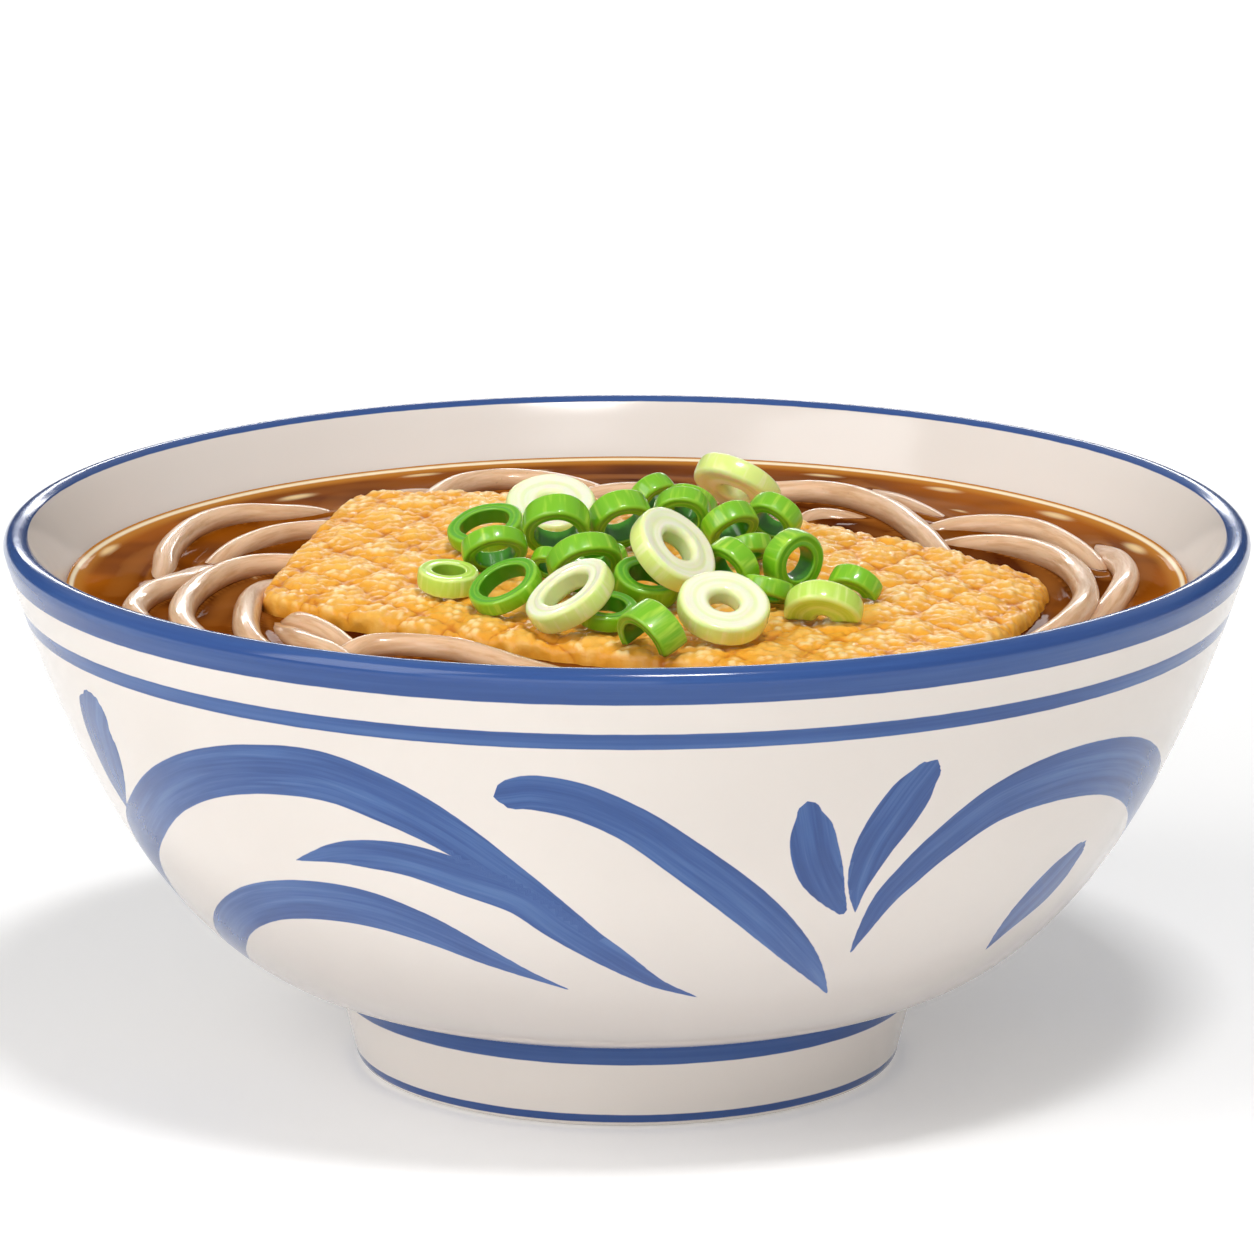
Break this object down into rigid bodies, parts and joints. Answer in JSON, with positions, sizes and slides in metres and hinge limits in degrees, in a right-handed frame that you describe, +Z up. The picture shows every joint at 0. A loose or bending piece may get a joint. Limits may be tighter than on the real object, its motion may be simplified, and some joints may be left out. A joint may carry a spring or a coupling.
{
  "type": "bowl of noodle soup",
  "caption": "Footed stoneware bowl of buckwheat noodles in broth, topped with a slice of fried tofu and a heap of chopped scallion rings.",
  "frame": {"origin": "middle of the foot's base, where the bowl stands", "axes": "+Z up, -Y toward the viewer of the picture, +X to the viewer's right"},
  "size_m": [0.195, 0.195, 0.0962],
  "materials": {
    "glaze": "gloss",
    "noodle": "satin",
    "broth": "gloss",
    "fried_tofu": "satin",
    "scallion_green": "satin",
    "scallion_lime": "satin",
    "scallion_white": "satin"
  },
  "bodies": {
    "root": {"bowl": "glaze", "noodles": "noodle", "broth": "broth", "fried_tofu": "fried_tofu", "scallion_01": "scallion_green", "scallion_02": "scallion_green", "scallion_03": "scallion_green", "scallion_04": "scallion_lime", "scallion_05": "scallion_green", "scallion_06": "scallion_green", "scallion_07": "scallion_white", "scallion_08": "scallion_green", "scallion_09": "scallion_green", "scallion_10": "scallion_green", "scallion_11": "scallion_green", "scallion_12": "scallion_green", "scallion_13": "scallion_green", "scallion_14": "scallion_green", "scallion_15": "scallion_green", "scallion_16": "scallion_green", "scallion_17": "scallion_lime", "scallion_18": "scallion_green", "scallion_19": "scallion_green", "scallion_20": "scallion_white", "scallion_21": "scallion_green", "scallion_22": "scallion_green", "scallion_23": "scallion_green", "scallion_24": "scallion_green", "scallion_25": "scallion_white", "scallion_26": "scallion_white", "scallion_27": "scallion_green", "scallion_28": "scallion_white"}
  },
  "joints": []
}
